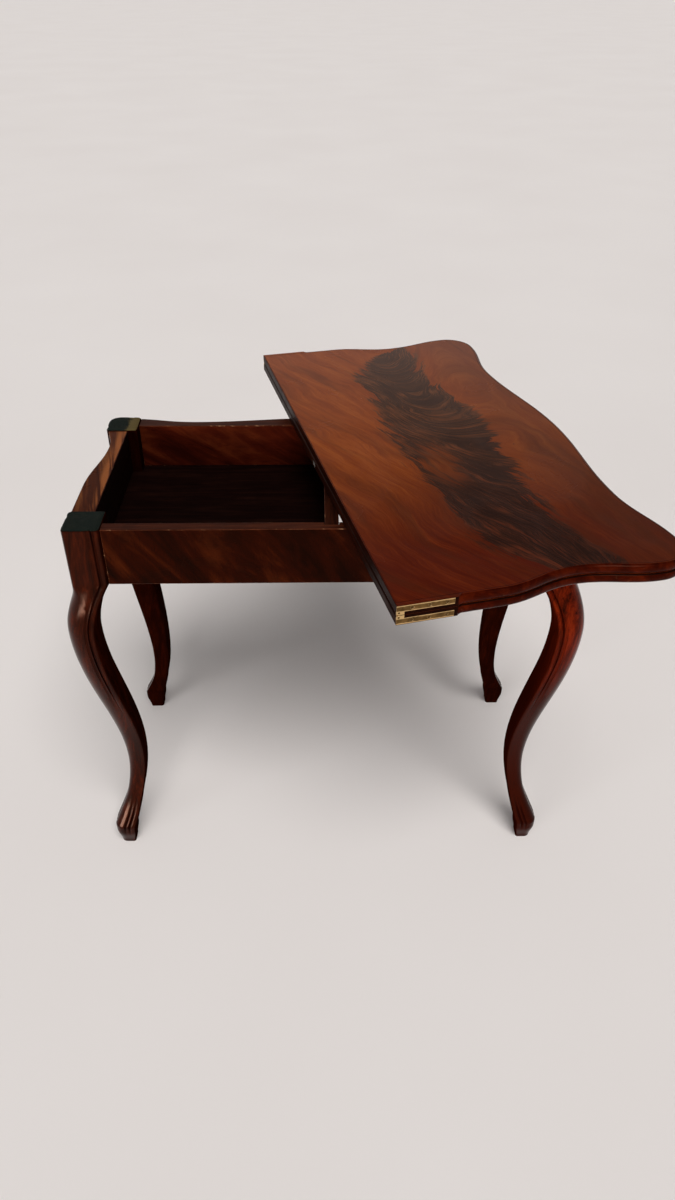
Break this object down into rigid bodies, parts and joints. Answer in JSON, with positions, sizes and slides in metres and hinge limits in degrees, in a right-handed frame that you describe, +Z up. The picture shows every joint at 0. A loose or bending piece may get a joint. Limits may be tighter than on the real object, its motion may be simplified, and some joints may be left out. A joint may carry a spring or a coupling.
{
  "type": "games table",
  "caption": "Fold-over games table on cabriole legs: a serpentine hinged top swivels on its frame to uncover a storage well and unfolds to double the playing surface.",
  "frame": {"origin": "on the floor, under the middle of the box round the table with its top turned as in the picture", "axes": "+Z up; +Y from the straight back of the frame to its serpentine front; +X to the right seen from the back"},
  "size_m": [0.9194, 0.9577, 0.74],
  "materials": {
    "polished_mahogany": "dark red-brown french-polished mahogany with worn arrises",
    "figured_mahogany": "french-polished flame mahogany with a dark figured band",
    "inner_mahogany": "dark stained inner wood, satin",
    "pale_hardwood": "bare hardwood",
    "green_felt": "worn green felt",
    "aged_brass": "aged brass, satin",
    "dark_iron": "dark wrought iron",
    "grey_steel": "dull grey steel"
  },
  "bodies": {
    "base": {"leg_back_left": "polished_mahogany", "leg_back_right": "polished_mahogany", "leg_front_left": "polished_mahogany", "leg_front_right": "polished_mahogany", "back_rail": "polished_mahogany", "front_rail": "polished_mahogany", "left_rail": "polished_mahogany", "right_rail": "polished_mahogany", "cross_rail": "inner_mahogany", "pivot_rail": "inner_mahogany", "well_bottom": "inner_mahogany", "pivot_bush": "aged_brass", "felt_pad_back_left": "green_felt", "felt_pad_back_right": "green_felt", "felt_pad_front_left": "green_felt", "felt_pad_front_right": "green_felt"},
    "swivel_top": {"lower_leaf": "figured_mahogany", "pivot_plate": "dark_iron", "pivot_bolt": "dark_iron", "pivot_washer": "dark_iron", "pivot_nut": "dark_iron", "plate_screw_1": "dark_iron", "plate_screw_2": "dark_iron", "plate_screw_3": "dark_iron", "plate_screw_4": "dark_iron", "stop_peg": "pale_hardwood", "hinge_strap_lower_left": "aged_brass", "hinge_strap_lower_right": "aged_brass", "hinge_pin_lower_left": "aged_brass", "hinge_pin_lower_right": "aged_brass", "strap_screw_lower_left_1": "aged_brass", "strap_screw_lower_left_2": "aged_brass", "strap_screw_lower_left_3": "aged_brass", "strap_screw_lower_right_1": "aged_brass", "strap_screw_lower_right_2": "aged_brass", "strap_screw_lower_right_3": "aged_brass", "catch_plate": "grey_steel", "catch_screw_1": "grey_steel", "catch_screw_2": "grey_steel"},
    "hinge_links": {"hinge_link_left": "aged_brass", "hinge_link_right": "aged_brass"},
    "upper_leaf": {"upper_leaf": "figured_mahogany", "hinge_strap_upper_left": "aged_brass", "hinge_strap_upper_right": "aged_brass", "hinge_pin_upper_left": "aged_brass", "hinge_pin_upper_right": "aged_brass", "strap_screw_upper_left_1": "aged_brass", "strap_screw_upper_left_2": "aged_brass", "strap_screw_upper_left_3": "aged_brass", "strap_screw_upper_right_1": "aged_brass", "strap_screw_upper_right_2": "aged_brass", "strap_screw_upper_right_3": "aged_brass"}
  },
  "joints": [
    {"name": "top_swivel", "type": "hinge", "parent": "base", "child": "swivel_top", "pos_m": [0.07567, -0.136, 0.7096], "axis": [0, 0, 1], "range_deg": [-13.72, 76.28]},
    {"name": "link_swing", "type": "hinge", "parent": "swivel_top", "child": "hinge_links", "pos_m": [-0.0565, -0.04577, 0.7211], "axis": [0.2372, -0.9715, 0], "range_deg": [0, 90]},
    {"name": "leaf_fold", "type": "hinge", "parent": "hinge_links", "child": "upper_leaf", "pos_m": [-0.0565, -0.04577, 0.7285], "axis": [0.2372, -0.9715, 0], "range_deg": [0, 90]}
  ]
}
